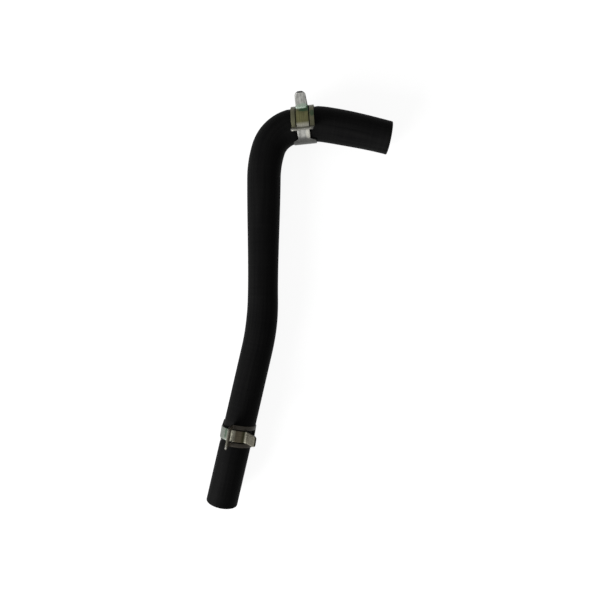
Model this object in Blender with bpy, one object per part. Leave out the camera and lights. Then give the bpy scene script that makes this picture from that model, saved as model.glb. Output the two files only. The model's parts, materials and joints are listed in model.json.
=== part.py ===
"""Turbo outlet hose: a moulded rubber elbow that carries two spring band clamps.

The hose is one moulding, a tube bent in one plane. Each clamp is one strip of spring steel, wound
once round the hose. Its wide end stands up as an ear with a window at its foot, and its narrow end,
the tongue, passes through that window and stands up as the second ear. Squeezing the two ears
together opens the ring. A clamp stands a few degrees askew, and the rubber gives way under it.
Metres, +Z up. The hose lies level, with its long leg along +Y and its arm towards +X.
"""
import math
from dataclasses import dataclass

import bmesh
import bpy
from mathutils import Matrix, Vector

MM = 0.001
UP = Vector((0.0, 0.0, 1.0))
QUARTER_TURN = math.pi / 2.0
SHARP_ANGLE = math.radians(35.0)

# Hose route, from the lower end to the end of the arm
LOWER_HEADING = math.radians(13.0)   # the lower run leans this far from +Y towards +X
LOWER_RUN = 80.2 * MM
KNEE_RADIUS = 116.0 * MM
KNEE_TURN = math.radians(-12.5)      # negative turns go to the left
LEG_RUN = 62.5 * MM
BEND_ENTRY_RADIUS = 52.0 * MM
BEND_ENTRY_TURN = math.radians(16.4)
BEND_RADIUS = 17.2 * MM
BEND_TURN = math.radians(57.2)
BEND_EXIT_RADIUS = 42.7 * MM
BEND_EXIT_TURN = math.radians(25.0)
ARM_RADIUS = 332.0 * MM
ARM_TURN = math.radians(5.6)

# Hose section
BORE = 10.0 * MM
LOWER_DIAMETER = 16.0 * MM
WAIST_DIAMETER = 15.4 * MM
BEND_DIAMETER = 17.2 * MM
ARM_END_DIAMETER = 16.3 * MM
WAIST_ABOVE_KNEE = 8.0 * MM          # the waist is this far past the knee
WAIST_TAPER_LENGTH = 22.0 * MM       # the lower diameter shrinks to the waist over this length
SWELL_LENGTH = 57.0 * MM             # the waist swells to the bend over this length
ARM_TAPER_LENGTH = 28.0 * MM         # the bend's diameter shrinks to the arm's end over this length
ARM_CUT_SKEW = math.radians(-5.5)    # the arm's cut is turned this far from square, to the left
OUTER_CHAMFER = 0.5 * MM
BORE_CHAMFER = 0.35 * MM
HOSE_SIDES = 32
STRAIGHT_STEP = 7.0 * MM
TURN_STEP = math.radians(7.0)

# Seats that the clamps press into the rubber
CLEARANCE = 0.3 * MM                 # between a clamp's band and the rubber
SEAT_DEPTH = 0.35 * MM
SEAT_MARGIN = 1.2 * MM               # a seat runs past its band by this at each side
SEAT_BLEND = 3.2 * MM

# Spring band clamps: sizes that both share
BAND_THICKNESS = 0.8 * MM
WIDE_EAR_HEIGHT = 9.0 * MM
EAR_BEND_RADIUS = 1.3 * MM
WIDE_EAR_CORNER = 1.8 * MM
TONGUE_SIDE_GAP = 0.45 * MM
SHOULDER_LENGTH = 2.0 * MM
WINDOW_LENGTH = 15.5 * MM
WINDOW_HEADROOM = 0.7 * MM           # the window's top edge clears the tongue by this
WINDOW_FILLET = 1.2 * MM
INNER_LANE_SHARE = 0.7               # of the half width, where the middle lane has no window
RING_STEP = math.radians(6.0)
CORNER_STEPS = 4
SHOULDER_STEPS = 5
BAND_SAMPLES = 12

# The lower clamp; ear angles count from the ring's top, towards the side that its tongue goes
LOWER_CLAMP_FROM_END = 36.2 * MM
LOWER_CLAMP_YAW = math.radians(-3.5)
LOWER_CLAMP_LEAN = math.radians(4.0)
LOWER_WIDE_EAR_ANGLE = math.radians(-17.1)
LOWER_WIDE_EAR_TILT = math.radians(15.6)
LOWER_EAR_SPREAD = math.radians(53.0)
LOWER_NARROW_EAR_HEIGHT = 8.7 * MM
LOWER_BAND_WIDTH = 10.7 * MM
LOWER_TONGUE_WIDTH = 5.6 * MM
LOWER_TONGUE_LENGTH = 17.5 * MM
LOWER_TIP_WIDTH = 5.1 * MM
LOWER_TIP_CORNER = 1.2 * MM

# The upper clamp
UPPER_CLAMP_FROM_END = 44.4 * MM
UPPER_CLAMP_YAW = math.radians(2.9)
UPPER_CLAMP_LEAN = math.radians(-6.0)
UPPER_WIDE_EAR_ANGLE = math.radians(-25.2)
UPPER_WIDE_EAR_TILT = math.radians(0.0)
UPPER_EAR_SPREAD = math.radians(60.4)
UPPER_NARROW_EAR_HEIGHT = 9.5 * MM
UPPER_BAND_WIDTH = 11.6 * MM
UPPER_TONGUE_WIDTH = 6.2 * MM
UPPER_TONGUE_LENGTH = 13.8 * MM
UPPER_TIP_WIDTH = 5.2 * MM
UPPER_TIP_CORNER = 2.3 * MM

RUBBER = (0.013, 0.013, 0.014, 1.0)
ZINC_OLIVE = (0.30, 0.29, 0.24, 1.0)

# The route's stretches: length and turn of each
ROUTE = (
    (LOWER_RUN, 0.0),
    (KNEE_RADIUS * abs(KNEE_TURN), KNEE_TURN),
    (LEG_RUN, 0.0),
    (BEND_ENTRY_RADIUS * abs(BEND_ENTRY_TURN), BEND_ENTRY_TURN),
    (BEND_RADIUS * abs(BEND_TURN), BEND_TURN),
    (BEND_EXIT_RADIUS * abs(BEND_EXIT_TURN), BEND_EXIT_TURN),
    (ARM_RADIUS * abs(ARM_TURN), ARM_TURN),
)
HOSE_LENGTH = sum(length for length, turn in ROUTE)
KNEE_END = ROUTE[0][0] + ROUTE[1][0]


@dataclass(frozen=True)
class Clamp:
    """How one clamp stands on the hose, and the sizes that are its own."""

    name: str
    at: float             # distance of its middle from the hose's lower end
    yaw: float            # its axis turns this far to the right of the hose's heading
    lean: float           # its top leans this far forward along the hose
    tongue_side: float    # +1 where the tongue runs over the top to the right of the heading
    wide_ear_angle: float
    wide_ear_tilt: float  # the wide ear turns this far from the ring's radius, towards the tongue side
    ear_spread: float
    narrow_ear_height: float
    band_width: float
    tongue_width: float
    tongue_length: float
    tip_width: float      # of the narrow ear
    tip_corner: float


CLAMPS = (
    Clamp(
        "lower_clamp", LOWER_CLAMP_FROM_END, LOWER_CLAMP_YAW, LOWER_CLAMP_LEAN, 1.0,
        LOWER_WIDE_EAR_ANGLE, LOWER_WIDE_EAR_TILT, LOWER_EAR_SPREAD, LOWER_NARROW_EAR_HEIGHT,
        LOWER_BAND_WIDTH, LOWER_TONGUE_WIDTH, LOWER_TONGUE_LENGTH, LOWER_TIP_WIDTH, LOWER_TIP_CORNER,
    ),
    Clamp(
        "upper_clamp", HOSE_LENGTH - UPPER_CLAMP_FROM_END, UPPER_CLAMP_YAW, UPPER_CLAMP_LEAN, -1.0,
        UPPER_WIDE_EAR_ANGLE, UPPER_WIDE_EAR_TILT, UPPER_EAR_SPREAD, UPPER_NARROW_EAR_HEIGHT,
        UPPER_BAND_WIDTH, UPPER_TONGUE_WIDTH, UPPER_TONGUE_LENGTH, UPPER_TIP_WIDTH, UPPER_TIP_CORNER,
    ),
)


def clear_scene():
    for obj in list(bpy.data.objects):
        bpy.data.objects.remove(obj, do_unlink=True)


def make_material(name, colour, roughness, metallic):
    material = bpy.data.materials.new(name)
    material.use_nodes = True
    shader = material.node_tree.nodes["Principled BSDF"]
    shader.inputs["Base Color"].default_value = colour
    shader.inputs["Roughness"].default_value = roughness
    shader.inputs["Metallic"].default_value = metallic
    material.diffuse_color = colour
    return material


def make_object(name, mesh_data, material):
    """Turn finished bmesh data into an object of that name and free the data."""
    mesh = bpy.data.meshes.new(name)
    mesh_data.to_mesh(mesh)
    mesh_data.free()
    mesh.materials.append(material)
    mesh.shade_smooth()
    mesh.set_sharp_from_angle(angle=SHARP_ANGLE)
    obj = bpy.data.objects.new(name, mesh)
    bpy.context.scene.collection.objects.link(obj)
    return obj


def smooth_step(value):
    value = min(max(value, 0.0), 1.0)
    return value * value * (3.0 - 2.0 * value)


def direction(heading):
    """Unit vector in the hose's plane; a heading of zero is +Y and positive turns to +X."""
    return Vector((math.sin(heading), math.cos(heading), 0.0))


def route_at(distance):
    """Centre point and heading of the hose at a distance from its lower end."""
    point = Vector((0.0, 0.0, 0.0))
    heading = LOWER_HEADING
    left = distance
    for length, turn in ROUTE:
        part = min(left, length)
        half_turn = turn * part / length / 2.0
        chord = part * math.sin(half_turn) / half_turn if half_turn else part
        point += direction(heading + half_turn) * chord
        heading += 2.0 * half_turn
        left -= part
    return point, heading


def plain_radius(distance):
    """Outer radius of the moulding, before the clamps press their seats into it."""
    past_waist = distance - KNEE_END - WAIST_ABOVE_KNEE
    to_arm_end = HOSE_LENGTH - distance
    diameter = LOWER_DIAMETER
    diameter += (WAIST_DIAMETER - LOWER_DIAMETER) * smooth_step(1.0 + past_waist / WAIST_TAPER_LENGTH)
    diameter += (BEND_DIAMETER - WAIST_DIAMETER) * smooth_step(past_waist / SWELL_LENGTH)
    diameter += (ARM_END_DIAMETER - BEND_DIAMETER) * smooth_step(1.0 - to_arm_end / ARM_TAPER_LENGTH)
    return diameter / 2.0


def seat_radius(clamp):
    return plain_radius(clamp.at) - SEAT_DEPTH


def seat_half_length(clamp):
    """Half the length of a clamp's seat, which also covers the band where it stands askew."""
    skew = math.hypot(clamp.yaw, clamp.lean)
    return clamp.band_width / 2.0 + seat_radius(clamp) * math.tan(skew) + SEAT_MARGIN


def seat_share(clamp, distance):
    """1 along a clamp's seat, falling smoothly to 0 where the rubber is free again."""
    beyond = abs(distance - clamp.at) - seat_half_length(clamp)
    return 1.0 - smooth_step(beyond / SEAT_BLEND)


def clamp_frame(clamp):
    """Middle of a clamp's ring, and its axis, tongue side and top as a matrix's columns.

    The middle is set aside so that the bent hose bows as far to one side of the clamp's axis as
    to the other, within the width of the band.
    """
    here, heading = route_at(clamp.at)
    forward = direction(heading + clamp.yaw)
    right = direction(heading + clamp.yaw + QUARTER_TURN)
    bows = []
    for sample in range(BAND_SAMPLES + 1):
        distance = clamp.at + clamp.band_width * (sample / BAND_SAMPLES - 0.5)
        bows.append((route_at(distance)[0] - here).dot(right))
    middle = here + right * (min(bows) + max(bows)) / 2.0
    side = right * clamp.tongue_side
    top = UP * math.cos(clamp.lean) + forward * math.sin(clamp.lean)
    return middle, Matrix((side.cross(top), side, top)).transposed()


def outer_section(distance):
    """Centre and radius of the hose's outside, which follows each clamp's axis along its seat."""
    point, _ = route_at(distance)
    centre, radius = point.copy(), plain_radius(distance)
    for clamp in CLAMPS:
        share = seat_share(clamp, distance)
        middle, turn = clamp_frame(clamp)
        axis = turn.col[0]
        on_axis = middle + axis * (point - middle).dot(axis)
        centre += share * (on_axis - point)
        radius += share * (seat_radius(clamp) - radius)
    return centre, radius


def hose_stations():
    """Distances along the hose that get a ring: close in the bends and at the clamps' seats."""
    stations = {OUTER_CHAMFER, HOSE_LENGTH - OUTER_CHAMFER}
    for clamp in CLAMPS:
        half = seat_half_length(clamp)
        for share in (0.0, 1.0 / 3.0, 2.0 / 3.0, 1.0):
            reach = half + share * SEAT_BLEND
            stations.update((clamp.at - reach, clamp.at + reach))
        stations.add(clamp.at)
    fixed = sorted(stations)
    passed = 0.0
    for length, turn in ROUTE:
        steps = max(math.ceil(length / STRAIGHT_STEP), math.ceil(abs(turn) / TURN_STEP))
        for step in range(steps):
            distance = passed + length * step / steps
            if min(abs(distance - other) for other in fixed) > STRAIGHT_STEP / 4.0:
                stations.add(distance)
        passed += length
    return sorted(stations)


def ring_of_vertices(mesh_data, distance, centre, radius):
    """One ring of the hose, square to the route, or along the slanted cut at the arm's end."""
    heading = route_at(distance)[1]
    across = direction(heading + QUARTER_TURN)
    if distance > HOSE_LENGTH - 2.0 * OUTER_CHAMFER:
        across -= direction(heading) * math.tan(ARM_CUT_SKEW)
    ring = []
    for side in range(HOSE_SIDES):
        angle = 2.0 * math.pi * side / HOSE_SIDES
        spoke = math.cos(angle) * across + math.sin(angle) * UP
        ring.append(mesh_data.verts.new(centre + radius * spoke))
    return ring


def build_hose(material):
    """Sweep the outside and the bore along the route and close both cut ends."""
    stations = hose_stations()
    outside = [(distance, *outer_section(distance)) for distance in stations]
    start, end = route_at(0.0)[0], route_at(HOSE_LENGTH)[0]
    outside.insert(0, (0.0, start, plain_radius(0.0) - OUTER_CHAMFER))
    outside.append((HOSE_LENGTH, end, plain_radius(HOSE_LENGTH) - OUTER_CHAMFER))

    bore_radius = BORE / 2.0
    bore_stations = [BORE_CHAMFER, *stations[1:-1], HOSE_LENGTH - BORE_CHAMFER]
    bore = [(distance, route_at(distance)[0], bore_radius) for distance in bore_stations]
    bore.insert(0, (0.0, start, bore_radius + BORE_CHAMFER))
    bore.append((HOSE_LENGTH, end, bore_radius + BORE_CHAMFER))
    bore.reverse()

    mesh_data = bmesh.new()
    rings = [ring_of_vertices(mesh_data, *section) for section in outside + bore]
    for index, ring in enumerate(rings):
        following = rings[(index + 1) % len(rings)]
        for side in range(HOSE_SIDES):
            beside = (side + 1) % HOSE_SIDES
            mesh_data.faces.new((ring[side], ring[beside], following[beside], following[side]))
    bmesh.ops.recalc_face_normals(mesh_data, faces=mesh_data.faces)
    return make_object("hose", mesh_data, material)


def ring_point(angle, radius):
    """Point in a clamp's own plane: Z is the top and positive angles go towards +Y."""
    return Vector((0.0, radius * math.sin(angle), radius * math.cos(angle)))


class Strip:
    """A clamp's strip of steel: the outline of its flat blank, and the line that it is wound on.

    Distances run along the strip's middle line, from the tip of the wide ear.
    """

    def __init__(self, clamp):
        self.clamp = clamp
        self.ring_radius = seat_radius(clamp) + CLEARANCE + BAND_THICKNESS / 2.0
        self.hub_radius = self.ring_radius + EAR_BEND_RADIUS      # where each bend has its centre
        self.foot_radius = math.sqrt(self.hub_radius ** 2 - EAR_BEND_RADIUS ** 2)
        foot_angle = math.asin(EAR_BEND_RADIUS / self.hub_radius)
        self.wide_angle = clamp.wide_ear_angle + clamp.wide_ear_tilt
        self.narrow_angle = clamp.wide_ear_angle + clamp.ear_spread + 2.0 * math.pi
        self.first_angle = clamp.wide_ear_angle + foot_angle      # where the ring begins
        self.last_angle = self.narrow_angle - foot_angle          # and where it ends

        rim = self.ring_radius + BAND_THICKNESS / 2.0
        bend = EAR_BEND_RADIUS * (QUARTER_TURN - foot_angle)
        self.wide_bend = rim + WIDE_EAR_HEIGHT - self.foot_radius
        self.ring_start = self.wide_bend + bend + EAR_BEND_RADIUS * clamp.wide_ear_tilt
        self.ring_end = self.ring_start + self.ring_radius * (self.last_angle - self.first_angle)
        self.narrow_ear = self.ring_end + bend
        self.end = self.narrow_ear + rim + clamp.narrow_ear_height - self.foot_radius

        self.window_start = WIDE_EAR_HEIGHT - WINDOW_HEADROOM
        self.window_end = self.wide_bend + WINDOW_LENGTH
        self.shoulder_end = self.ring_end - clamp.tongue_length
        self.shoulder_start = self.shoulder_end - SHOULDER_LENGTH

    def place(self, distance):
        """Point of the middle line at a distance, in the ring's plane."""
        if distance < self.ring_start:
            hub = ring_point(self.first_angle, self.hub_radius)
            up_the_ear = max(self.wide_bend - distance, 0.0)
            turned = max(distance - self.wide_bend, 0.0) / EAR_BEND_RADIUS
            foot = hub + ring_point(self.wide_angle - QUARTER_TURN - turned, EAR_BEND_RADIUS)
            return foot + ring_point(self.wide_angle, up_the_ear)
        if distance < self.ring_end:
            turned = (distance - self.ring_start) / self.ring_radius
            return ring_point(self.first_angle + turned, self.ring_radius)
        if distance < self.narrow_ear:
            turned = (distance - self.ring_end) / EAR_BEND_RADIUS
            hub = ring_point(self.last_angle, self.hub_radius)
            return hub + ring_point(self.last_angle + math.pi - turned, EAR_BEND_RADIUS)
        return ring_point(self.narrow_angle, self.foot_radius + distance - self.narrow_ear)

    def half_width(self, distance):
        """Half width of the strip, with rounded corners at both tips and a curved shoulder."""
        wide = self.clamp.band_width / 2.0
        tongue = self.clamp.tongue_width / 2.0
        if distance <= self.shoulder_start:
            return wide - corner_cut(distance, WIDE_EAR_CORNER)
        if distance < self.shoulder_end:
            share = (distance - self.shoulder_start) / SHOULDER_LENGTH
            return wide - (wide - tongue) * math.sin(share * QUARTER_TURN)
        taper = max(distance - self.ring_end, 0.0) / (self.end - self.ring_end)
        half = tongue + (self.clamp.tip_width / 2.0 - tongue) * taper
        return half - corner_cut(self.end - distance, self.clamp.tip_corner)

    def inner_half_width(self, distance):
        """Half width of the middle lane: the window's, or a share of the strip's where it is narrow."""
        window = self.clamp.tongue_width / 2.0 + TONGUE_SIDE_GAP
        inside = min(distance - self.window_start, self.window_end - distance)
        if inside < 0.0:
            return min(window - WINDOW_FILLET, INNER_LANE_SHARE * self.half_width(distance))
        return window - corner_cut(inside, WINDOW_FILLET)

    def rows(self):
        """Distances of the rows across the strip: close together where its outline curves."""
        corner = [1.0 - math.cos(QUARTER_TURN * step / CORNER_STEPS) for step in range(CORNER_STEPS + 1)]
        found = set()
        for share in corner:
            found.update((share * WIDE_EAR_CORNER, self.end - share * self.clamp.tip_corner))
            fillet = share * WINDOW_FILLET
            found.update((self.window_start + fillet, self.window_end - fillet))
        for step in range(CORNER_STEPS + 1):
            share = step / CORNER_STEPS
            found.add(self.wide_bend + share * (self.ring_start - self.wide_bend))
            found.add(self.ring_end + share * (self.narrow_ear - self.ring_end))
        for step in range(SHOULDER_STEPS + 1):
            found.add(self.shoulder_start + SHOULDER_LENGTH * step / SHOULDER_STEPS)
        fixed = sorted(found)
        steps = math.ceil((self.last_angle - self.first_angle) / RING_STEP)
        spacing = (self.ring_end - self.ring_start) / steps
        for step in range(1, steps):
            distance = self.ring_start + spacing * step
            if min(abs(distance - other) for other in fixed) > spacing / 3.0:
                found.add(distance)
        return sorted(found)


def corner_cut(distance, radius):
    """How much a rounded corner takes off a half width, at a distance from the end."""
    left = min(max(radius - distance, 0.0), radius)
    return radius - math.sqrt(radius ** 2 - left ** 2)


def build_clamp(clamp, material):
    """Wind one strip round the hose and give it the thickness of the sheet."""
    strip = Strip(clamp)
    rows = strip.rows()
    mesh_data = bmesh.new()
    vertices = []
    for distance in rows:
        place = strip.place(distance)
        half, inner = strip.half_width(distance), strip.inner_half_width(distance)
        across = [Vector((offset, 0.0, 0.0)) for offset in (-half, -inner, inner, half)]
        vertices.append([mesh_data.verts.new(place + offset) for offset in across])
    for index in range(len(rows) - 1):
        here, following = vertices[index], vertices[index + 1]
        middle = (rows[index] + rows[index + 1]) / 2.0
        for lane in range(3):
            if lane == 1 and strip.window_start < middle < strip.window_end:
                continue
            mesh_data.faces.new((here[lane], here[lane + 1], following[lane + 1], following[lane]))
    obj = make_object(clamp.name, mesh_data, material)
    wall = obj.modifiers.new("sheet thickness", "SOLIDIFY")
    wall.thickness = BAND_THICKNESS
    wall.offset = 0.0
    wall.use_even_offset = True
    middle, turn = clamp_frame(clamp)
    obj.matrix_world = Matrix.Translation(middle) @ turn.to_4x4()
    return obj


def lay_at_origin(pieces):
    """Carry all the pieces on one empty, so that the middle of their underside is at the origin."""
    bpy.context.view_layer.update()
    graph = bpy.context.evaluated_depsgraph_get()
    points = []
    for piece in pieces:
        seen = piece.evaluated_get(graph)
        points += [seen.matrix_world @ vertex.co for vertex in seen.data.vertices]
    low = Vector([min(point[axis] for point in points) for axis in range(3)])
    high = Vector([max(point[axis] for point in points) for axis in range(3)])
    carrier = bpy.data.objects.new("carrier", None)
    bpy.context.scene.collection.objects.link(carrier)
    for piece in pieces:
        piece.parent = carrier
    carrier.location = (-(low.x + high.x) / 2.0, -(low.y + high.y) / 2.0, -low.z)


def main():
    clear_scene()
    rubber = make_material("rubber", RUBBER, roughness=0.55, metallic=0.0)
    steel = make_material("coated_steel", ZINC_OLIVE, roughness=0.42, metallic=0.9)
    pieces = [build_hose(rubber)]
    pieces += [build_clamp(clamp, steel) for clamp in CLAMPS]
    lay_at_origin(pieces)


main()
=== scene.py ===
# %% [markdown]
# # A moulded rubber hose with two spring band clamps
#
# The object is a black rubber hose, moulded with a knee and a sharp elbow, and two band clamps of
# coated spring steel that are parked on it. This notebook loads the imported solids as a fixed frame
# and dresses them: it sweeps a finer hose along the same route, cuts, rounds and rolls a strip of
# steel for each clamp, and gives rubber, steel and paint their finish. Nothing is moved or resized.

# %% Load the frame
import json
import math
from dataclasses import dataclass

import bpy
from mathutils import Matrix, Vector


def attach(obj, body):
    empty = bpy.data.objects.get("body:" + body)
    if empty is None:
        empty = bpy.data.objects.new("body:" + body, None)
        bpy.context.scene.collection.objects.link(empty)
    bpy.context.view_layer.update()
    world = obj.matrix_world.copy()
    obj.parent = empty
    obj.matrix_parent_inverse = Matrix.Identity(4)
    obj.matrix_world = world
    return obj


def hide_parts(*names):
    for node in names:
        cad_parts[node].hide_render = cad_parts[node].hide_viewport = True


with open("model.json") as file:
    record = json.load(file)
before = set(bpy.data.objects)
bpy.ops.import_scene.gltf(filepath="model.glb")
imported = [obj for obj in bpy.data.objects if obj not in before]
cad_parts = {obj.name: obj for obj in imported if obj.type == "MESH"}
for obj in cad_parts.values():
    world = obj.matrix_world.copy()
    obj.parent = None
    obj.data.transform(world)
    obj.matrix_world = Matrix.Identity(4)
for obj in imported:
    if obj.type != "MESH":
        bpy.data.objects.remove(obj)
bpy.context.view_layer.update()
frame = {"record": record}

# %% [markdown]
# ## Sizes
#
# The sizes are the ones of the real parts, in metres. The hose's route is a chain of straight runs
# and arcs, each given as its length and how far it turns. The place of the lower end is read from
# the frame: its end face is a stated mount, whose point lies on the wall, straight above the axis.

# %% Driving sizes of the hose
MM = 0.001
UP = Vector((0.0, 0.0, 1.0))
QUARTER_TURN = math.pi / 2.0

LOWER_RUN = 80.2 * MM
KNEE_RADIUS = 116.0 * MM
KNEE_TURN = math.radians(-12.5)
LEG_RUN = 62.5 * MM
BEND_ENTRY_RADIUS = 52.0 * MM
BEND_ENTRY_TURN = math.radians(16.4)
BEND_RADIUS = 17.2 * MM
BEND_TURN = math.radians(57.2)
BEND_EXIT_RADIUS = 42.7 * MM
BEND_EXIT_TURN = math.radians(25.0)
ARM_RADIUS = 332.0 * MM
ARM_TURN = math.radians(5.6)

BORE = 10.0 * MM
LOWER_DIAMETER = 16.0 * MM
WAIST_DIAMETER = 15.4 * MM
BEND_DIAMETER = 17.2 * MM
ARM_END_DIAMETER = 16.3 * MM
WAIST_ABOVE_KNEE = 8.0 * MM
WAIST_TAPER_LENGTH = 22.0 * MM
SWELL_LENGTH = 57.0 * MM
ARM_TAPER_LENGTH = 28.0 * MM
ARM_CUT_SKEW = math.radians(-5.5)

SEAT_DEPTH = 0.35 * MM
SEAT_INSET = 1.2 * MM
SEAT_BLEND = 1.8 * MM

FACE_POINT_ABOVE_AXIS = 6.4 * MM
end_mount = next(m for m in frame["record"]["mounts"] if m["name"] == "lower_end_face")
LOWER_END = Vector(end_mount["pos_m"]) - FACE_POINT_ABOVE_AXIS * UP
LOWER_HEADING = math.atan2(-end_mount["axis"][0], -end_mount["axis"][1])
AXIS_HEIGHT = LOWER_END.z

ROUTE = (
    (LOWER_RUN, 0.0),
    (KNEE_RADIUS * abs(KNEE_TURN), KNEE_TURN),
    (LEG_RUN, 0.0),
    (BEND_ENTRY_RADIUS * abs(BEND_ENTRY_TURN), BEND_ENTRY_TURN),
    (BEND_RADIUS * abs(BEND_TURN), BEND_TURN),
    (BEND_EXIT_RADIUS * abs(BEND_EXIT_TURN), BEND_EXIT_TURN),
    (ARM_RADIUS * abs(ARM_TURN), ARM_TURN),
)
HOSE_LENGTH = sum(length for length, turn in ROUTE)
KNEE_END = ROUTE[0][0] + ROUTE[1][0]
print("hose length in mm:", round(HOSE_LENGTH / MM, 1), "axis height:", round(AXIS_HEIGHT / MM, 2))

# %% [markdown]
# Both clamps are made from the same sheet with the same tools, so they share their thickness, bends
# and window. What differs is kept in a `Clamp`: where it stands on the hose, how it is turned, and
# how its ears, band and tongue are cut. A plain tuple would hold the same numbers, but here each one
# is read by its name.

# %% Driving sizes of the clamps
CLEARANCE = 0.3 * MM
BAND_THICKNESS = 0.8 * MM
WIDE_EAR_HEIGHT = 9.0 * MM
EAR_BEND_RADIUS = 1.3 * MM
WIDE_EAR_CORNER = 1.8 * MM
TONGUE_SIDE_GAP = 0.45 * MM
SHOULDER_LENGTH = 2.0 * MM
WINDOW_LENGTH = 15.5 * MM
WINDOW_HEADROOM = 0.7 * MM
WINDOW_FILLET = 1.2 * MM
INNER_LANE_SHARE = 0.7


@dataclass(frozen=True)
class Clamp:
    """How one clamp stands on the hose, and the sizes that are its own."""

    at: float               # distance of its middle from the hose's lower end
    yaw: float              # its axis turns this far to the right of the hose's heading
    lean: float             # its top leans this far forward along the hose
    tongue_side: float      # +1 where the tongue runs over the top to the right of the heading
    wide_ear_angle: float   # from the top of the ring, positive towards the tongue side
    wide_ear_tilt: float    # how far that ear turns on from the ring's radius, the same way
    ear_spread: float       # from the wide ear to the narrow one, round the ring
    narrow_ear_tilt: float  # how far the narrow ear turns on from the ring's radius
    narrow_ear_height: float
    band_width: float
    tongue_width: float
    tongue_length: float
    tip_width: float
    tip_corner: float


LOWER_CLAMP = Clamp(
    at=36.2 * MM,
    yaw=math.radians(-3.5),
    lean=math.radians(4.0),
    tongue_side=1.0,
    wide_ear_angle=math.radians(-17.1),
    wide_ear_tilt=math.radians(15.6),
    ear_spread=math.radians(53.0),
    narrow_ear_tilt=0.0,
    narrow_ear_height=8.7 * MM,
    band_width=10.7 * MM,
    tongue_width=5.6 * MM,
    tongue_length=17.5 * MM,
    tip_width=5.1 * MM,
    tip_corner=1.2 * MM,
)
UPPER_CLAMP = Clamp(
    at=HOSE_LENGTH - 44.4 * MM,
    yaw=math.radians(2.9),
    lean=math.radians(-6.0),
    tongue_side=-1.0,
    wide_ear_angle=math.radians(-25.2),
    wide_ear_tilt=0.0,
    ear_spread=math.radians(66.9),
    narrow_ear_tilt=math.radians(-14.2),
    narrow_ear_height=9.25 * MM,
    band_width=11.6 * MM,
    tongue_width=6.2 * MM,
    tongue_length=14.8 * MM,
    tip_width=5.2 * MM,
    tip_corner=2.3 * MM,
)
CLAMPS = (LOWER_CLAMP, UPPER_CLAMP)
print("band widths in mm:", [round(clamp.band_width / MM, 1) for clamp in CLAMPS])

# %% [markdown]
# ## Where a point on the hose lies
#
# `route_at` walks along the route and gives the centre of the hose and its heading at any distance
# from the lower end. The moulding is slimmest just past the knee and swells into the elbow. Each
# clamp stands a few degrees askew and presses a shallow seat into the rubber, so `outer_section`
# lets the outside follow the clamp's own axis there. The seat ends just under the band's edges,
# where the rubber swells back to its own size.

# %% The route and the section
BOW_STEPS = 12


def direction(heading):
    """Unit vector in the hose's plane; zero is +Y and positive headings turn towards +X."""
    return Vector((math.sin(heading), math.cos(heading), 0.0))


def route_at(distance):
    """Centre and heading of the hose at a distance from its lower end."""
    point, heading, left = LOWER_END.copy(), LOWER_HEADING, distance
    for length, turn in ROUTE:
        part = min(left, length)
        half_turn = turn * part / length / 2.0
        chord = part * math.sin(half_turn) / half_turn if half_turn else part
        point += direction(heading + half_turn) * chord
        heading += 2.0 * half_turn
        left -= part
    return point, heading


def smooth_step(value):
    value = min(max(value, 0.0), 1.0)
    return value * value * (3.0 - 2.0 * value)


def plain_radius(distance):
    """Outer radius of the moulding, before the clamps press their seats into it."""
    past_waist = distance - KNEE_END - WAIST_ABOVE_KNEE
    to_arm_end = HOSE_LENGTH - distance
    diameter = LOWER_DIAMETER
    diameter += (WAIST_DIAMETER - LOWER_DIAMETER) * smooth_step(1.0 + past_waist / WAIST_TAPER_LENGTH)
    diameter += (BEND_DIAMETER - WAIST_DIAMETER) * smooth_step(past_waist / SWELL_LENGTH)
    diameter += (ARM_END_DIAMETER - BEND_DIAMETER) * smooth_step(1.0 - to_arm_end / ARM_TAPER_LENGTH)
    return diameter / 2.0


def seat_radius(clamp):
    return plain_radius(clamp.at) - SEAT_DEPTH


def seat_share(clamp, distance):
    """1 along a clamp's seat, falling smoothly to 0 as the rubber swells against the band's edge."""
    half_length = clamp.band_width / 2.0 - SEAT_INSET
    return 1.0 - smooth_step((abs(distance - clamp.at) - half_length) / SEAT_BLEND)


def clamp_frame(clamp):
    """Middle of a clamp's ring, and its axis, tongue side and top as a matrix's columns.

    The hose may bow under the band, so the ring is centred between the bow's two extremes.
    """
    here, heading = route_at(clamp.at)
    forward = direction(heading + clamp.yaw)
    right = direction(heading + clamp.yaw + QUARTER_TURN)
    bows = []
    for step in range(BOW_STEPS + 1):
        distance = clamp.at + clamp.band_width * (step / BOW_STEPS - 0.5)
        bows.append((route_at(distance)[0] - here).dot(right))
    middle = here + right * (min(bows) + max(bows)) / 2.0
    side = right * clamp.tongue_side
    top = UP * math.cos(clamp.lean) + forward * math.sin(clamp.lean)
    return middle, Matrix((side.cross(top), side, top)).transposed()


def outer_section(distance):
    """Centre and radius of the hose's outside, which follows each clamp's axis along its seat."""
    point, _ = route_at(distance)
    centre, radius = point.copy(), plain_radius(distance)
    for clamp in CLAMPS:
        share = seat_share(clamp, distance)
        middle, turn = clamp_frame(clamp)
        axis = turn.col[0]
        on_axis = middle + axis * (point - middle).dot(axis)
        centre += share * (on_axis - point)
        radius += share * (seat_radius(clamp) - radius)
    return centre, radius


for clamp in CLAMPS:
    print("clamp middle in mm:", [round(value / MM, 2) for value in clamp_frame(clamp)[0]])

# %% [markdown]
# ## Small helpers
#
# An operator works on whatever is selected, and loading the frame leaves its nodes selected. So
# every piece starts by deselecting everything, and elements are then picked in code by their place.

# %% Helpers for modelling
def select_only(obj):
    if bpy.context.object and bpy.context.object.mode != "OBJECT":
        bpy.ops.object.mode_set(mode="OBJECT")
    bpy.ops.object.select_all(action="DESELECT")
    obj.select_set(True)
    bpy.context.view_layer.objects.active = obj


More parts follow.
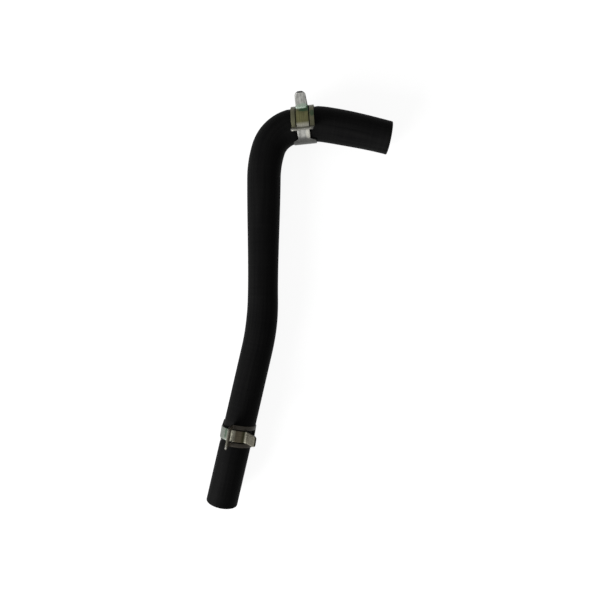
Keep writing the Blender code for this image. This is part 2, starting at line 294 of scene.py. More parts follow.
def apply_place(obj):
    """Put the object's place into its mesh, so that its origin is the frame's."""
    select_only(obj)
    bpy.ops.object.transform_apply(location=True, rotation=True, scale=True)


def apply_modifier(obj, kind, **settings):
    select_only(obj)
    modifier = obj.modifiers.new(kind.lower(), kind)
    for name, value in settings.items():
        setattr(modifier, name, value)
    bpy.ops.object.modifier_apply(modifier=modifier.name)


def select_vertices(obj, wanted):
    """In edit mode, select the vertices whose place passes the test, and the edges between them."""
    bpy.ops.mesh.select_mode(type="VERT")
    bpy.ops.mesh.select_all(action="DESELECT")
    bpy.ops.object.mode_set(mode="OBJECT")
    for vertex in obj.data.vertices:
        vertex.select = wanted(vertex.co)
    bpy.ops.object.mode_set(mode="EDIT")


def write_vector_attribute(obj, name, values):
    attribute = obj.data.attributes.new(name, "FLOAT_VECTOR", "POINT")
    attribute.data.foreach_set("vector", [number for value in values for number in value])


def finish_smooth(obj, crease):
    """Shade smooth everywhere but at edges that turn more than the crease angle."""
    select_only(obj)
    bpy.ops.object.shade_smooth_by_angle(angle=crease)


# %% [markdown]
# ## The hose
#
# A real hose of this kind is extruded, pushed over a bent mandrel and cured on it. The model is made
# in the same spirit: a circle at the lower end is extruded along each straight run and spun round
# each arc. That keeps every ring square to the route, which a curve with a bevel would also do, but
# here each ring can be set to its own radius afterwards, and the mesh is an even grid.

# %% Sweep a skin along the route
HOSE_SIDES = 72
STRAIGHT_STEP = 1.4 * MM
TURN_STEP = math.radians(2.0)
NOMINAL_RADIUS = 8.0 * MM


def steps_in(length, turn):
    """Into how many steps a stretch of the route is cut."""
    return math.ceil(max(length / STRAIGHT_STEP, abs(turn) / TURN_STEP))


def sweep_skin(name):
    """A tube of the nominal radius along the whole route, open at both ends."""
    bpy.ops.object.select_all(action="DESELECT")
    bpy.ops.mesh.primitive_circle_add(
        vertices=HOSE_SIDES,
        radius=NOMINAL_RADIUS,
        location=LOWER_END,
        rotation=(QUARTER_TURN, 0.0, -LOWER_HEADING),
    )
    skin = bpy.context.object
    skin.name = name
    skin.data.name = name
    apply_place(skin)
    bpy.ops.object.mode_set(mode="EDIT")
    bpy.ops.mesh.select_all(action="SELECT")
    passed = 0.0
    for length, turn in ROUTE:
        point, heading = route_at(passed)
        steps = steps_in(length, turn)
        if turn == 0.0:
            stride = direction(heading) * length / steps
            for _ in range(steps):
                bpy.ops.mesh.extrude_region_move(TRANSFORM_OT_translate={"value": stride})
        else:
            centre = point + length / turn * direction(heading + QUARTER_TURN)
            bpy.ops.mesh.spin(steps=steps, angle=turn, center=centre, axis=UP)
        passed += length
    bpy.ops.object.mode_set(mode="OBJECT")
    return skin


# %% [markdown]
# The real hose isn't the same all along: it tapers, swells and is pressed in by its clamps. Each
# vertex belongs to the ring whose centre is nearest, and once its ring is known, the vertex can be
# given the centre and radius that the real hose has there. Scaling the rings one by one by hand would
# do the same, more slowly. The arm's end isn't cut quite square, so its last ring is slanted.

# %% Give every ring its size
def ring_distances():
    distances = [0.0]
    passed = 0.0
    for length, turn in ROUTE:
        steps = steps_in(length, turn)
        distances += [passed + length * (step + 1) / steps for step in range(steps)]
        passed += length
    return distances


RINGS = [(distance, *route_at(distance)) for distance in ring_distances()]


def ring_of(place):
    return min(range(len(RINGS)), key=lambda index: (place - RINGS[index][1]).length_squared)


def shape_skin(skin, section_at):
    """Give each ring its centre and radius, and slant the cut at the arm's end."""
    sections = [section_at(distance) for distance, _, _ in RINGS]
    last = len(RINGS) - 1
    heading = RINGS[last][2]
    slant = direction(heading) * math.tan(ARM_CUT_SKEW)
    for vertex in skin.data.vertices:
        index = ring_of(vertex.co)
        centre, radius = sections[index]
        vertex.co = centre + radius * (vertex.co - RINGS[index][1]).normalized()
        if index == last:
            sideways = (vertex.co - centre).dot(direction(heading + QUARTER_TURN))
            vertex.co -= slant * sideways


outside = sweep_skin("hose_skin")
bore = sweep_skin("hose_bore")
shape_skin(outside, outer_section)
shape_skin(bore, lambda distance: (route_at(distance)[0], BORE / 2.0))
print("skin vertices:", len(outside.data.vertices), "rings:", len(RINGS))

# %% [markdown]
# The skin and the bore are joined into one object. At each end the skin's edge is extruded and
# scaled down to the bore, and then merged with the bore's own edge, which makes the cut face. Bridging
# the two edges is the usual way, but it can pair the wrong vertices, and its faces then cross the
# bore. A knife leaves a crisp edge that handling rounds a little, so the four end edges get a small
# bevel. The normals are recalculated before it, because a bevel tears where they disagree.

# %% Close the cut ends
END_ROUNDING = 0.2 * MM
END_ROUNDING_STEPS = 3
HOSE_CREASE = math.radians(50.0)
SAME_PLACE = 0.01 * MM
CUTS = (
    (RINGS[0][1], direction(RINGS[0][2]), plain_radius(0.0)),
    (RINGS[-1][1], direction(RINGS[-1][2] + ARM_CUT_SKEW), plain_radius(HOSE_LENGTH)),
)


def on_cut(place, cut, beyond=0.0):
    """True for a place on a cut's plane that is further than this from its centre."""
    centre, facing, radius = cut
    away = place - centre
    return beyond < away.length < radius + MM and abs(away.dot(facing)) < SAME_PLACE


bpy.ops.object.select_all(action="DESELECT")
outside.select_set(True)
bore.select_set(True)
bpy.context.view_layer.objects.active = outside
bpy.ops.object.join()
hose = bpy.context.object
hose.name = "rubber_hose"
hose.data.name = "rubber_hose"
bpy.ops.object.mode_set(mode="EDIT")
for cut in CUTS:
    shrink = BORE / 2.0 / cut[2]
    select_vertices(hose, lambda place: on_cut(place, cut, beyond=BORE / 2.0 + MM))
    bpy.ops.mesh.extrude_region_move()
    bpy.ops.transform.resize(value=(shrink, shrink, shrink))
select_vertices(hose, lambda place: any(on_cut(place, cut) for cut in CUTS))
bpy.ops.mesh.remove_doubles(threshold=SAME_PLACE)
bpy.ops.mesh.select_all(action="SELECT")
bpy.ops.mesh.normals_make_consistent(inside=False)
select_vertices(hose, lambda place: any(on_cut(place, cut) for cut in CUTS))
bpy.ops.mesh.select_mode(type="EDGE")
bpy.ops.mesh.region_to_loop()
bpy.ops.mesh.bevel(offset=END_ROUNDING, segments=END_ROUNDING_STEPS, affect="EDGES")
bpy.ops.object.mode_set(mode="OBJECT")
finish_smooth(hose, HOSE_CREASE)
print("hose faces:", len(hose.data.polygons))

# %% [markdown]
# The marks in the rubber follow the hose round its bends. So the straightened place of each vertex,
# as if the hose were pulled straight, is kept as an attribute. A UV map could carry it as well, but
# it is flat and has a seam, and the place is solid and has none.

# %% Remember each vertex's straightened place
def straightened(place):
    distance, centre, heading = RINGS[ring_of(place)]
    offset = place - centre
    across = direction(heading + QUARTER_TURN)
    return (offset.dot(across), offset.z, distance + offset.dot(direction(heading)))


straight_places = [straightened(vertex.co) for vertex in hose.data.vertices]
write_vector_attribute(hose, "straightened", straight_places)
print("straightened length in mm:", round(max(place[2] for place in straight_places) / MM, 1))

# %% [markdown]
# ## The clamps
#
# A spring band clamp starts as a flat blank of spring steel. Its wide end becomes one ear and has a
# window behind it; its narrow end, the tongue, becomes the other ear. The blank is rolled into a
# ring, the tongue is fed through the window, and both ends are bent up. The model is made the same
# way. A ring with its window cut out would do for the band, but only a bent strip keeps its thickness
# and its outline through the bends. `Strip` knows both forms: the outline of the flat blank, worked
# out at rows across it, and the line that the blank is rolled on.

# %% The outline and the rolled line of a strip
ROW_SPACING = 0.45 * MM
CORNER_STEPS = 8
SHOULDER_STEPS = 10


def ring_point(angle, radius):
    """Place in a clamp's own plane: Z is the top, and positive angles go towards +Y."""
    return Vector((0.0, radius * math.sin(angle), radius * math.cos(angle)))


def corner_cut(distance, radius):
    """How much a rounded corner takes off a half width, at a distance from the end."""
    left = min(max(radius - distance, 0.0), radius)
    return radius - math.sqrt(radius ** 2 - left ** 2)


class Strip:
    """A clamp's strip of steel; distances run along it from the tip of the wide ear."""

    def __init__(self, clamp):
        self.clamp = clamp
        self.ring_radius = seat_radius(clamp) + CLEARANCE + BAND_THICKNESS / 2.0
        self.hub_radius = self.ring_radius + EAR_BEND_RADIUS
        foot_radius = math.sqrt(self.hub_radius ** 2 - EAR_BEND_RADIUS ** 2)
        foot_angle = math.asin(EAR_BEND_RADIUS / self.hub_radius)
        self.wide_angle = clamp.wide_ear_angle + clamp.wide_ear_tilt
        across_angle = clamp.wide_ear_angle + clamp.ear_spread + 2.0 * math.pi
        self.narrow_angle = across_angle + clamp.narrow_ear_tilt
        self.first_angle = clamp.wide_ear_angle + foot_angle
        self.last_angle = across_angle - foot_angle

        rim = self.ring_radius + BAND_THICKNESS / 2.0
        bend = QUARTER_TURN - foot_angle
        self.wide_bend = rim + WIDE_EAR_HEIGHT - foot_radius
        self.ring_start = self.wide_bend + EAR_BEND_RADIUS * (bend + clamp.wide_ear_tilt)
        self.ring_end = self.ring_start + self.ring_radius * (self.last_angle - self.first_angle)
        self.narrow_ear = self.ring_end + EAR_BEND_RADIUS * (bend - clamp.narrow_ear_tilt)
        self.end = self.narrow_ear + rim + clamp.narrow_ear_height - foot_radius
        self.window_start = WIDE_EAR_HEIGHT - WINDOW_HEADROOM
        self.window_end = self.wide_bend + WINDOW_LENGTH
        self.shoulder_end = self.ring_end - clamp.tongue_length
        self.shoulder_start = self.shoulder_end - SHOULDER_LENGTH
        self.under_ear = self.ring_end - self.ring_radius * clamp.ear_spread

    def ear_place(self, hub_angle, ear_angle, side, past_foot):
        """As `place`, on an ear and its bend; side is -1 at the wide ear and +1 at the narrow."""
        bend_left = max(-past_foot, 0.0) / EAR_BEND_RADIUS
        spoke = ring_point(ear_angle + side * (QUARTER_TURN + bend_left), 1.0)
        foot = ring_point(hub_angle, self.hub_radius) + EAR_BEND_RADIUS * spoke
        return foot + ring_point(ear_angle, max(past_foot, 0.0)), -spoke

    def place(self, distance):
        """Point of the middle line in the ring's plane, and the way that its outer face looks."""
        if distance < self.ring_start:
            return self.ear_place(self.first_angle, self.wide_angle, -1.0, self.wide_bend - distance)
        if distance < self.ring_end:
            outward = ring_point(self.first_angle + (distance - self.ring_start) / self.ring_radius, 1.0)
            return self.ring_radius * outward, outward
        return self.ear_place(self.last_angle, self.narrow_angle, 1.0, distance - self.narrow_ear)

    def half_width(self, distance):
        """Half width of the blank, with rounded corners at both tips and a curved shoulder."""
        wide = self.clamp.band_width / 2.0
        tongue = self.clamp.tongue_width / 2.0
        if distance <= self.shoulder_start:
            return wide - corner_cut(distance, WIDE_EAR_CORNER)
        if distance < self.shoulder_end:
            share = (distance - self.shoulder_start) / SHOULDER_LENGTH
            return wide - (wide - tongue) * math.sin(share * QUARTER_TURN)
        taper = max(distance - self.ring_end, 0.0) / (self.end - self.ring_end)
        half = tongue + (self.clamp.tip_width / 2.0 - tongue) * taper
        return half - corner_cut(self.end - distance, self.clamp.tip_corner)

    def window_half(self, distance):
        """Half width of the window, or of the middle lane where there is no window."""
        window = self.clamp.tongue_width / 2.0 + TONGUE_SIDE_GAP
        inside = min(distance - self.window_start, self.window_end - distance)
        if inside < 0.0:
            return min(window - WINDOW_FILLET, INNER_LANE_SHARE * self.half_width(distance))
        return window - corner_cut(inside, WINDOW_FILLET)

    def rows(self):
        """Distances of the rows across the blank: closer together where its outline curves."""
        found = set()
        for step in range(CORNER_STEPS + 1):
            share = 1.0 - math.cos(step * QUARTER_TURN / CORNER_STEPS)
            fillet = share * WINDOW_FILLET
            found.update((share * WIDE_EAR_CORNER, self.end - share * self.clamp.tip_corner))
            found.update((self.window_start + fillet, self.window_end - fillet))
        for step in range(SHOULDER_STEPS + 1):
            found.add(self.shoulder_start + SHOULDER_LENGTH * step / SHOULDER_STEPS)
        fixed = sorted(found)
        for step in range(1, math.ceil(self.end / ROW_SPACING)):
            distance = step * ROW_SPACING
            if min(abs(distance - other) for other in fixed) > ROW_SPACING / 3.0:
                found.add(distance)
        return sorted(found)


for clamp in CLAMPS:
    print("flat strip in mm:", round(Strip(clamp).end / MM, 1), "long")

# %% [markdown]
# The blank is a grid three lanes wide. Its vertices are set to the outline, the faces inside the
# window are deleted, Solidify gives it the thickness of the sheet, and a small Bevel takes the
# sharpness off every edge, as tumbling does to the real blank. Only then is it rolled. Each vertex
# keeps its flat place and flat normal as attributes, which the finish is painted by.

# %% Cut, thicken and roll one strip
LANES = 3
MIDDLE_LANE = 0.1 * MM
EDGE_ROUNDING = 0.17 * MM
SHARP_EDGE = math.radians(50.0)
BAND_CREASE = math.radians(40.0)


def flat_blank(name, strip):
    rows = strip.rows()
    bpy.ops.object.select_all(action="DESELECT")
    bpy.ops.mesh.primitive_grid_add(x_subdivisions=LANES, y_subdivisions=len(rows) - 1, size=2.0)
    blank = bpy.context.object
    blank.name = name
    blank.data.name = name
    ordered = sorted(blank.data.vertices, key=lambda vertex: (round(vertex.co.y, 5), vertex.co.x))
    for index, vertex in enumerate(ordered):
        distance = rows[index // (LANES + 1)]
        half, inner = strip.half_width(distance), strip.window_half(distance)
        across = (-half, -inner, inner, half)[index % (LANES + 1)]
        vertex.co = (across, distance, 0.0)
    bpy.ops.object.mode_set(mode="EDIT")
    bpy.ops.mesh.select_mode(type="FACE")
    bpy.ops.mesh.select_all(action="DESELECT")
    bpy.ops.object.mode_set(mode="OBJECT")
    for face in blank.data.polygons:
        in_lane = abs(face.center.x) < MIDDLE_LANE
        face.select = in_lane and strip.window_start < face.center.y < strip.window_end
    bpy.ops.object.mode_set(mode="EDIT")
    bpy.ops.mesh.delete(type="FACE")
    bpy.ops.object.mode_set(mode="OBJECT")
    apply_modifier(blank, "SOLIDIFY", thickness=BAND_THICKNESS, offset=0.0)
    apply_modifier(
        blank, "BEVEL", width=EDGE_ROUNDING, segments=2, limit_method="ANGLE",
        angle_limit=SHARP_EDGE, use_clamp_overlap=False,
    )
    return blank


def roll_clamp(name, clamp):
    """Cut a blank, remember how it lay flat, and roll it round the hose."""
    strip = Strip(clamp)
    band = flat_blank(name, strip)
    write_vector_attribute(band, "blank", [vertex.co.copy() for vertex in band.data.vertices])
    write_vector_attribute(band, "flat_normal", [vertex.normal.copy() for vertex in band.data.vertices])
    middle, turn = clamp_frame(clamp)
    for vertex in band.data.vertices:
        across, distance, depth = vertex.co
        place, outward = strip.place(distance)
        vertex.co = middle + turn @ (place + outward * depth + Vector((across, 0.0, 0.0)))
    select_only(band)
    bpy.ops.object.mode_set(mode="EDIT")
    bpy.ops.mesh.select_all(action="SELECT")
    bpy.ops.mesh.normals_make_consistent(inside=False)
    bpy.ops.object.mode_set(mode="OBJECT")
    finish_smooth(band, BAND_CREASE)
    print(name, "faces:", len(band.data.polygons), "ring radius:", round(strip.ring_radius / MM, 2))
    return band, strip


lower_clamp, lower_strip = roll_clamp("lower_band", LOWER_CLAMP)
upper_clamp, upper_strip = roll_clamp("upper_band", UPPER_CLAMP)

# %% [markdown]
# ## Materials
#
# Every material is a node tree round one Principled shader. Painted pictures would be the other way,
# but nodes need none, and every mark stays a number that can be changed. The helpers below add a node
# and wire it in one line, so that each material reads as a short list of what it is made of.

# %% Helpers for node trees
class Tree:
    """A material and short ways to add nodes to it."""

    def __init__(self, name):
        self.material = bpy.data.materials.new(name)
        self.material.use_nodes = True
        self.nodes = self.material.node_tree.nodes
        self.shader = self.nodes["Principled BSDF"]

    def link(self, source, target):
        self.material.node_tree.links.new(source, target)

    def set(self, name, value):
        self.shader.inputs[name].default_value = value

    def attribute(self, name):
        node = self.nodes.new("ShaderNodeAttribute")
        node.attribute_name = name
        return node.outputs["Vector"]

    def part(self, vector, axis):
        node = self.nodes.new("ShaderNodeSeparateXYZ")
        self.link(vector, node.inputs["Vector"])
        return node.outputs[axis]

    def length(self, vector):
        node = self.nodes.new("ShaderNodeVectorMath")
        node.operation = "LENGTH"
        self.link(vector, node.inputs[0])
        return node.outputs["Value"]

    def stretch(self, vector, scale, offset=(0.0, 0.0, 0.0)):
        node = self.nodes.new("ShaderNodeMapping")
        node.inputs["Scale"].default_value = scale
        node.inputs["Location"].default_value = offset
        self.link(vector, node.inputs["Vector"])
        return node.outputs["Vector"]

    def noise(self, vector, scale, detail=3.0, roughness=0.5):
        node = self.nodes.new("ShaderNodeTexNoise")
        node.inputs["Scale"].default_value = scale
        node.inputs["Detail"].default_value = detail
        node.inputs["Roughness"].default_value = roughness
        self.link(vector, node.inputs["Vector"])
        return node.outputs["Fac"]

    def ramp(self, factor, *stops):
        node = self.nodes.new("ShaderNodeValToRGB")
        while len(node.color_ramp.elements) < len(stops):
            node.color_ramp.elements.new(1.0)
        for element, (position, colour) in zip(node.color_ramp.elements, stops):
            element.position = position
            element.color = (*colour, 1.0)
        self.link(factor, node.inputs["Fac"])
        return node.outputs["Color"]

    def span(self, value, low, high, new_low=0.0, new_high=1.0):
        node = self.nodes.new("ShaderNodeMapRange")
        node.interpolation_type = "SMOOTHSTEP"
        node.inputs["From Min"].default_value = low
        node.inputs["From Max"].default_value = high
        node.inputs["To Min"].default_value = new_low
        node.inputs["To Max"].default_value = new_high
        self.link(value, node.inputs["Value"])
        return node.outputs["Result"]

    def math(self, first, second, operation):
        node = self.nodes.new("ShaderNodeMath")
        node.operation = operation
        for index, value in enumerate((first, second)):
            if isinstance(value, (int, float)):
                node.inputs[index].default_value = value
            else:
                self.link(value, node.inputs[index])
        return node.outputs["Value"]

    def blend(self, *parts):
        """Sum of parts, each a value and its weight."""
        total = 0.0
        for value, weight in parts:
            total = self.math(total, self.math(value, weight, "MULTIPLY"), "ADD")
        return total

    def mix(self, factor, first, second):
        node = self.nodes.new("ShaderNodeMix")
        node.data_type = "RGBA"
        self.link(factor, node.inputs["Factor"])
        for socket, value in (("A", first), ("B", second)):
            target = next(i for i in node.inputs if i.name == socket and i.type == "RGBA")
            if isinstance(value, tuple):
                target.default_value = (*value, 1.0)
            else:
                self.link(value, target)
        return next(o for o in node.outputs if o.type == "RGBA")

    def dim(self, colour, factor):
        node = self.nodes.new("ShaderNodeVectorMath")
        node.operation = "SCALE"
        self.link(colour, node.inputs["Vector"])
        self.link(factor, node.inputs["Scale"])
        return node.outputs["Vector"]

    def bump(self, height, distance):
        node = self.nodes.new("ShaderNodeBump")
        node.inputs["Distance"].default_value = distance
        self.link(height, node.inputs["Height"])
        self.link(node.outputs["Normal"], self.shader.inputs["Normal"])

    def put_on(self, obj):
        obj.data.materials.clear()
        obj.data.materials.append(self.material)


# %% [markdown]
# ### Rubber
#
# The hose is black, and its skin is matt with a very soft sheen. Three kinds of marks run along the
# straightened hose: faint rings left by the wrapping tape, long streaks from the mandrel, and a fine
# grain, over a slow cloudy change of tone. They are far too small to model, so they change the
# colour, the roughness and the bump. A noise is drawn out by scaling its coordinates, which are in
# metres here: much across the hose and little along it gives a streak, and the reverse gives a ring.

# %% Black moulded rubber
NOISE_SPAN = (0.3, 0.7)
RUBBER_DARK = (0.0042, 0.0042, 0.0044)
RUBBER_LIGHT = (0.0088, 0.0087, 0.0086)
RUBBER_TONES = ((0.36, RUBBER_DARK), (0.64, RUBBER_LIGHT))
RUBBER_ROUGHNESS = (0.5, 0.6)
RUBBER_SPECULAR = 0.016
RUBBER_RELIEF = 0.03 * MM
TAPE_SCALE = (12.0, 12.0, 620.0)
STREAK_SCALE = (900.0, 900.0, 28.0)
GRAIN_SCALE = 3200.0
CLOUD_SCALE = 55.0

rubber = Tree("hose_rubber")
along = rubber.attribute("straightened")
rings = rubber.noise(rubber.stretch(along, TAPE_SCALE), 1.0, detail=2.0)
streaks = rubber.noise(rubber.stretch(along, STREAK_SCALE), 1.0, detail=2.0)
grain = rubber.noise(along, GRAIN_SCALE, detail=2.0)
cloud = rubber.noise(along, CLOUD_SCALE, detail=4.0, roughness=0.6)
tone = rubber.blend((cloud, 0.3), (rings, 0.25), (streaks, 0.45))
roughness = rubber.span(tone, *NOISE_SPAN, *RUBBER_ROUGHNESS)
rubber.link(rubber.ramp(tone, *RUBBER_TONES), rubber.shader.inputs["Base Color"])
rubber.link(roughness, rubber.shader.inputs["Roughness"])
rubber.set("Specular IOR Level", RUBBER_SPECULAR)
rubber.bump(rubber.blend((rings, 0.6), (streaks, 0.35), (grain, 0.35)), RUBBER_RELIEF)
rubber.put_on(hose)
print("rubber nodes:", len(rubber.nodes))

# %% [markdown]
# ### Coated spring steel and its dab of paint
#
# The clamps have a dull zinc coating, passivated to a dark olive, that has rubbed to bare grey on
# the ears and along the tongue. So the tone changes along the strip, fine rolling streaks run the
# same way, and the sheared edges, where the flat normal lies in the sheet, are darker. Some tones are
# painted light: highlights on tip edges and folds, and a lighter band where the wide ear shades the
# tongue. Spots of wear and of painted highlight, and dabs of a fitter's green paint, are placed on
# the flat blank, where their places are easy to measure. Each is given by its strength, its place
# along and across the blank, and its half length and half width, and a spot by its tone first.

# %% Zinc coated steel with green paint
PAINT_GREEN = (0.030, 0.078, 0.034)
# A pale green wash that also carries a painted highlight.
PAINT_WASH_AND_HIGHLIGHT = (0.38, 0.49, 0.40)
PAINT_COVER = (0.75, 1.0)
MOTTLED_SPAN = (0.3, 0.6)
CUT_EDGE_SHARE = 0.38
CUT_EDGE_SPAN = (0.5, 0.95)
WORN_BRIGHTNESS = (0.72, 1.3)
STEEL_METALLIC = 0.6
STEEL_ROUGHNESS = (0.36, 0.5)
STEEL_SPECULAR = 0.2
STEEL_RELIEF = 0.012 * MM
ROLLING_SCALE = (2400.0, 80.0, 2400.0)
MOTTLING_SCALE = 520.0
RAGGED_SCALE = 700.0
RAGGED_SHARE = 0.9
PATCH_RIM = (1.1, 1.7)


def patch_on(steel, place, along, across, half_length, half_width):
    """1 inside a ragged patch on the flat blank, 0 outside it."""
    scale = (1.0 / half_width, 1.0 / half_length, 0.0)
    offset = (-across * scale[0], -along * scale[1], 0.0)
    reach = steel.length(steel.stretch(place, scale, offset))
    ragged = steel.noise(place, RAGGED_SCALE)
    return steel.span(steel.blend((reach, 1.0), (ragged, RAGGED_SHARE)), *PATCH_RIM, 1.0, 0.0)


def clamp_steel(name, strip, tones, spots, dabs):
    """Steel for one clamp, from its tones along the strip, its spots of wear and of painted highlight,
    and its dabs of paint.
    """
    steel = Tree(name)
    place = steel.attribute("blank")
    share = steel.math(steel.part(place, "Y"), 1.0 / strip.end, "MULTIPLY")
    body = steel.ramp(share, *[(at / strip.end, tone) for at, tone in tones])
    rolling = steel.noise(steel.stretch(place, ROLLING_SCALE), 1.0, detail=2.0)
    mottling = steel.noise(place, MOTTLING_SCALE, detail=4.0, roughness=0.6)
    worn = steel.blend((rolling, 0.6), (mottling, 0.4))
    body = steel.dim(body, steel.span(worn, *NOISE_SPAN, *WORN_BRIGHTNESS))
    for tone, strength, *patch in spots:
        spot = steel.math(patch_on(steel, place, *patch), strength, "MULTIPLY")
        body = steel.mix(spot, body, tone)
    paint = 0.0
    for strength, *patch in dabs:
        dab = steel.math(patch_on(steel, place, *patch), strength, "MULTIPLY")
        paint = steel.math(paint, dab, "MAXIMUM")
    upright = steel.math(steel.part(steel.attribute("flat_normal"), "Z"), 0.0, "ABSOLUTE")
    body = steel.dim(body, steel.span(upright, *CUT_EDGE_SPAN, CUT_EDGE_SHARE, 1.0))
    cover = steel.math(paint, steel.span(mottling, *MOTTLED_SPAN, *PAINT_COVER), "MULTIPLY")
    metallic = steel.span(paint, 0.0, 1.0, STEEL_METALLIC, 0.0)
    roughness = steel.span(worn, *NOISE_SPAN, *STEEL_ROUGHNESS)
    steel.link(steel.mix(cover, body, PAINT_GREEN), steel.shader.inputs["Base Color"])
    steel.link(metallic, steel.shader.inputs["Metallic"])
    steel.link(roughness, steel.shader.inputs["Roughness"])
    steel.set("Specular IOR Level", STEEL_SPECULAR)
    steel.bump(steel.blend((rolling, 1.0), (paint, 1.5)), STEEL_RELIEF)
    print(name, "tones:", len(tones), "spots:", len(spots), "dabs:", len(dabs))
    return steel


# %% [markdown]
# The tones are given by where they lie on the strip: the wide ear, the legs beside its window, the
# plain ring, the shoulder, the bare part of the tongue, the olive part inside the window, the bend
# and the narrow ear. A painted highlight lies on the wide ear's tip edge, and the tongue is painted
# lighter just past the wide ear, to make up for the shade that ear casts on it.

# %% Finish of the upper clamp
LEG_OLIVE = (0.105, 0.103, 0.062)
OLIVE = (0.126, 0.122, 0.055)
DARK_OLIVE = (0.038, 0.036, 0.016)
BRONZE = (0.076, 0.064, 0.042)
# Painted light: highlights on edges and folds, and light that makes up for shade.
PAINTED_LIGHT_OLIVE = (0.40, 0.39, 0.31)
BARE_ZINC = (0.32, 0.32, 0.30)
# Bare zinc, also used for painted highlights and for light that makes up for shade.
RUBBED_AND_LIT_ZINC = (0.52, 0.51, 0.45)
DULL_ZINC = (0.12, 0.12, 0.115)
DARK_ZINC = (0.075, 0.075, 0.07)
EAR_ZINC = (0.44, 0.44, 0.42)

upper = upper_strip
upper_tones = (
    # A painted highlight on the wide ear's tip edge.
    (0.1 * MM, RUBBED_AND_LIT_ZINC),
    (0.6 * MM, DULL_ZINC),
    (upper.ring_start, LEG_OLIVE),
    (upper.window_end, LEG_OLIVE),
    (upper.window_end + 6.0 * MM, DULL_ZINC),
    (upper.shoulder_start - 0.4 * MM, DARK_ZINC),
    (upper.shoulder_end, DULL_ZINC),
    (upper.shoulder_end + 1.5 * MM, BARE_ZINC),
    # Painted light: the tongue is lighter here to make up for the shade of the wide ear.
    (upper.under_ear + 0.5 * MM, BARE_ZINC),
    (upper.under_ear + 1.2 * MM, RUBBED_AND_LIT_ZINC),
    (upper.under_ear + 2.5 * MM, PAINTED_LIGHT_OLIVE),
    (upper.under_ear + 3.7 * MM, OLIVE),
    (upper.ring_end, OLIVE),
    (upper.narrow_ear, EAR_ZINC),
)
upper_steel = clamp_steel(
    "upper_clamp_steel",
    upper,
    upper_tones,
    spots=(
        # The pale wash on the narrow ear's foot is green paint with a painted highlight on the bend.
        (PAINT_WASH_AND_HIGHLIGHT, 0.75, upper.narrow_ear - 0.2 * MM, 0.5 * MM, 2.0 * MM, 3.6 * MM),
        (DULL_ZINC, 0.45, upper.shoulder_end + 2.6 * MM, -2.6 * MM, 3.0 * MM, 1.6 * MM),
        (RUBBED_AND_LIT_ZINC, 0.6, upper.shoulder_end + 2.6 * MM, 2.4 * MM, 3.0 * MM, 1.4 * MM),
        (DARK_ZINC, 0.8, upper.end, 0.0, 0.45 * MM, 2.8 * MM),
        (DARK_ZINC, 0.8, upper.end - 5.0 * MM, 3.0 * MM, 5.5 * MM, 0.6 * MM),
    ),
    dabs=(
        (1.0, upper.ring_end - 0.35 * MM, 1.9 * MM, 1.3 * MM, 3.8 * MM),
        (1.0, upper.ring_end + 0.9 * MM, 3.0 * MM, 2.2 * MM, 1.0 * MM),
        (0.7, upper.ring_start + 5.2 * MM, 4.9 * MM, 1.7 * MM, 1.2 * MM),
    ),
)
upper_steel.put_on(upper_clamp)

# %% [markdown]
# The lower clamp is browner and duller. Its tongue is bronze with a painted highlight on the fold at
# either end, its narrow ear is speckled, and the strip beside its wide ear has a grey green tint. The
# wide ear's tip edge and one corner of its tip carry painted highlights.

# %% Finish of the lower clamp
LEG_BROWN = (0.034, 0.030, 0.024)
GREEN_GREY = (0.155, 0.170, 0.148)
SPECKLED_EAR = (0.185, 0.175, 0.138)

lower = lower_strip
lower_tones = (
    # A painted highlight on the wide ear's tip edge.
    (0.1 * MM, PAINTED_LIGHT_OLIVE),
    (0.6 * MM, BRONZE),
    (lower.ring_start, LEG_BROWN),
    (lower.window_end, LEG_BROWN),
    (lower.window_end + 6.0 * MM, DULL_ZINC),
    (lower.shoulder_end, DULL_ZINC),
    (lower.under_ear - 5.5 * MM, GREEN_GREY),
    (lower.under_ear + 0.3 * MM, GREEN_GREY),
    # A painted highlight on the fold where the tongue comes out from under the wide ear.
    (lower.under_ear + 1.0 * MM, PAINTED_LIGHT_OLIVE),
    (lower.under_ear + 2.2 * MM, PAINTED_LIGHT_OLIVE),
    (lower.under_ear + 3.5 * MM, BRONZE),
    (lower.ring_end - 1.8 * MM, BRONZE),
    (lower.ring_end - 0.9 * MM, DARK_OLIVE),
    (lower.ring_end - 0.2 * MM, DARK_OLIVE),
    # A painted highlight on the bend at the foot of the narrow ear.
    (lower.ring_end + 0.9 * MM, PAINTED_LIGHT_OLIVE),
    (lower.narrow_ear + 0.8 * MM, SPECKLED_EAR),
    (lower.end - 0.25 * MM, SPECKLED_EAR),
    (lower.end - 0.1 * MM, DARK_OLIVE),
)
lower_steel = clamp_steel(
    "lower_clamp_steel",
    lower,
    lower_tones,
    # A spot of painted highlight on a corner of the wide ear's tip.
    spots=((RUBBED_AND_LIT_ZINC, 1.0, 0.0, 4.2 * MM, 0.8 * MM, 1.2 * MM),),
    dabs=((0.7, lower.under_ear - 1.9 * MM, -0.6 * MM, 0.7 * MM, 2.8 * MM),),
)
lower_steel.put_on(lower_clamp)

# %% [markdown]
# ## Join the pieces to the frame
#
# The row has no joints, so everything rides on its one body. Each new piece stands for the packed
# solid of the same form, which stays in the frame for collision but isn't shown.

# %% Ride and replace
for piece, node, slot in (
    (hose, "hose", "hose_rubber"),
    (lower_clamp, "lower_clamp", "clamp_steel"),
    (upper_clamp, "upper_clamp", "clamp_steel"),
):
    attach(piece, "root")
    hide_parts(node)
    print(piece.name, "stands for", node)

# %% [markdown]
# ## Stage
#
# The picture is a product shot from straight above, on white. The camera's lens and height were
# found from how much the cut ends and the clamps lean outwards in the picture: a lens of about
# 29 mm, a quarter of a metre above the hose.

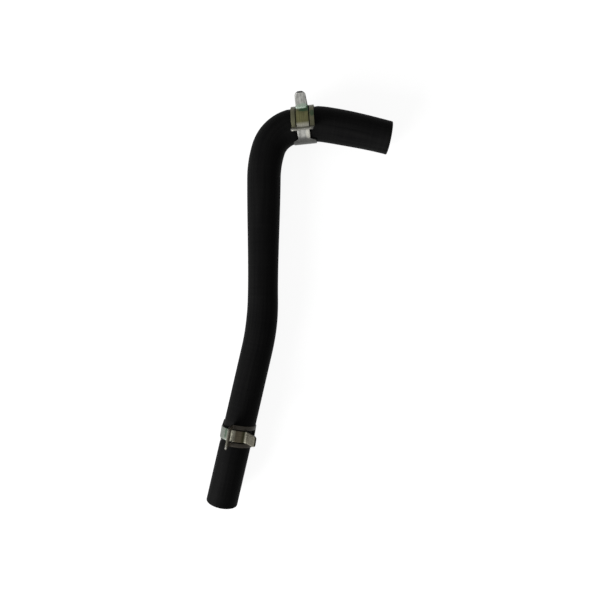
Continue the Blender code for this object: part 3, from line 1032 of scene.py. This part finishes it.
# %% Camera
FRAME_PIXELS = 600
FOCAL_PIXELS = 480.0
SENSOR = 36.0
NEAR_CLIP = 10.0 * MM
CAMERA_ABOVE_AXIS = 246.0 * MM
PICTURE_FROM_LOWER_END = Vector((40.02 * MM, 103.38 * MM, CAMERA_ABOVE_AXIS))

camera_data = bpy.data.cameras.new("camera")
camera_data.sensor_width = SENSOR
camera_data.lens = FOCAL_PIXELS / FRAME_PIXELS * SENSOR
camera_data.clip_start = NEAR_CLIP
camera = bpy.data.objects.new("camera", camera_data)
bpy.context.scene.collection.objects.link(camera)
camera.location = LOWER_END + PICTURE_FROM_LOWER_END
bpy.context.scene.camera = camera
print("camera at, in mm:", [round(value / MM, 1) for value in camera.location])

# %% [markdown]
# The floor is white paper. The camera and every reflection see it glow, so that it stays white right
# up to the object, while the object's own faint shadow is kept.

# %% Floor
FLOOR_SIZE = 6.0
WHITE = (1.0, 1.0, 1.0, 1.0)
PAPER_GREY = (0.3, 0.3, 0.3, 1.0)
PAPER_ROUGHNESS = 0.9
GLOW = 0.9


def white_rays(nodes, links):
    """1 for the rays that should see a white background: camera, reflection and transmission."""
    rays = nodes.new("ShaderNodeLightPath")
    total = rays.outputs["Is Camera Ray"]
    for name in ("Is Glossy Ray", "Is Transmission Ray"):
        either = nodes.new("ShaderNodeMath")
        either.operation = "MAXIMUM"
        links.new(total, either.inputs[0])
        links.new(rays.outputs[name], either.inputs[1])
        total = either.outputs["Value"]
    return total


bpy.ops.object.select_all(action="DESELECT")
bpy.ops.mesh.primitive_plane_add(size=FLOOR_SIZE, location=(0.0, 0.0, 0.0))
floor = bpy.context.object
floor.name = "floor"
paper = Tree("white_paper")
paper.set("Base Color", PAPER_GREY)
paper.set("Roughness", PAPER_ROUGHNESS)
paper.set("Specular IOR Level", 0.0)
paper.set("Emission Color", WHITE)
white = white_rays(paper.nodes, paper.material.node_tree.links)
paper.link(paper.math(white, GLOW, "MULTIPLY"), paper.shader.inputs["Emission Strength"])
paper.put_on(floor)
print("floor size in m:", FLOOR_SIZE)

# %% [markdown]
# One large soft light stands low to the left of the hose's lower end, which gives the leg and the
# near side of the arm their long soft sheen. A small lamp would give a hard bright line instead. A
# dim even surround fills the shadows.

# %% Light
KEY_AZIMUTH = math.radians(-50.0)
KEY_ELEVATION = math.radians(15.0)
KEY_DISTANCE = 1.2
KEY_SIZE = 0.9
KEY_POWER = 24.0
SURROUND = 0.22

away = Vector((
    math.sin(KEY_AZIMUTH) * math.cos(KEY_ELEVATION),
    -math.cos(KEY_AZIMUTH) * math.cos(KEY_ELEVATION),
    math.sin(KEY_ELEVATION),
))
key_data = bpy.data.lights.new("key", "AREA")
key_data.shape = "DISK"
key_data.size = KEY_SIZE
key_data.energy = KEY_POWER
key = bpy.data.objects.new("key", key_data)
bpy.context.scene.collection.objects.link(key)
key.location = away * KEY_DISTANCE
key.rotation_mode = "QUATERNION"
key.rotation_quaternion = away.to_track_quat("Z", "Y")

world = bpy.data.worlds.new("surround")
bpy.context.scene.world = world
world.use_nodes = True
backdrop = world.node_tree.nodes["Background"]
backdrop.inputs["Color"].default_value = WHITE
white = white_rays(world.node_tree.nodes, world.node_tree.links)
strength = world.node_tree.nodes.new("ShaderNodeMapRange")
strength.inputs["To Min"].default_value = SURROUND
strength.inputs["To Max"].default_value = 1.0
world.node_tree.links.new(white, strength.inputs["Value"])
world.node_tree.links.new(strength.outputs["Result"], backdrop.inputs["Strength"])
bpy.context.scene.view_settings.view_transform = "Standard"
print("key light at, in m:", [round(value, 2) for value in key.location])
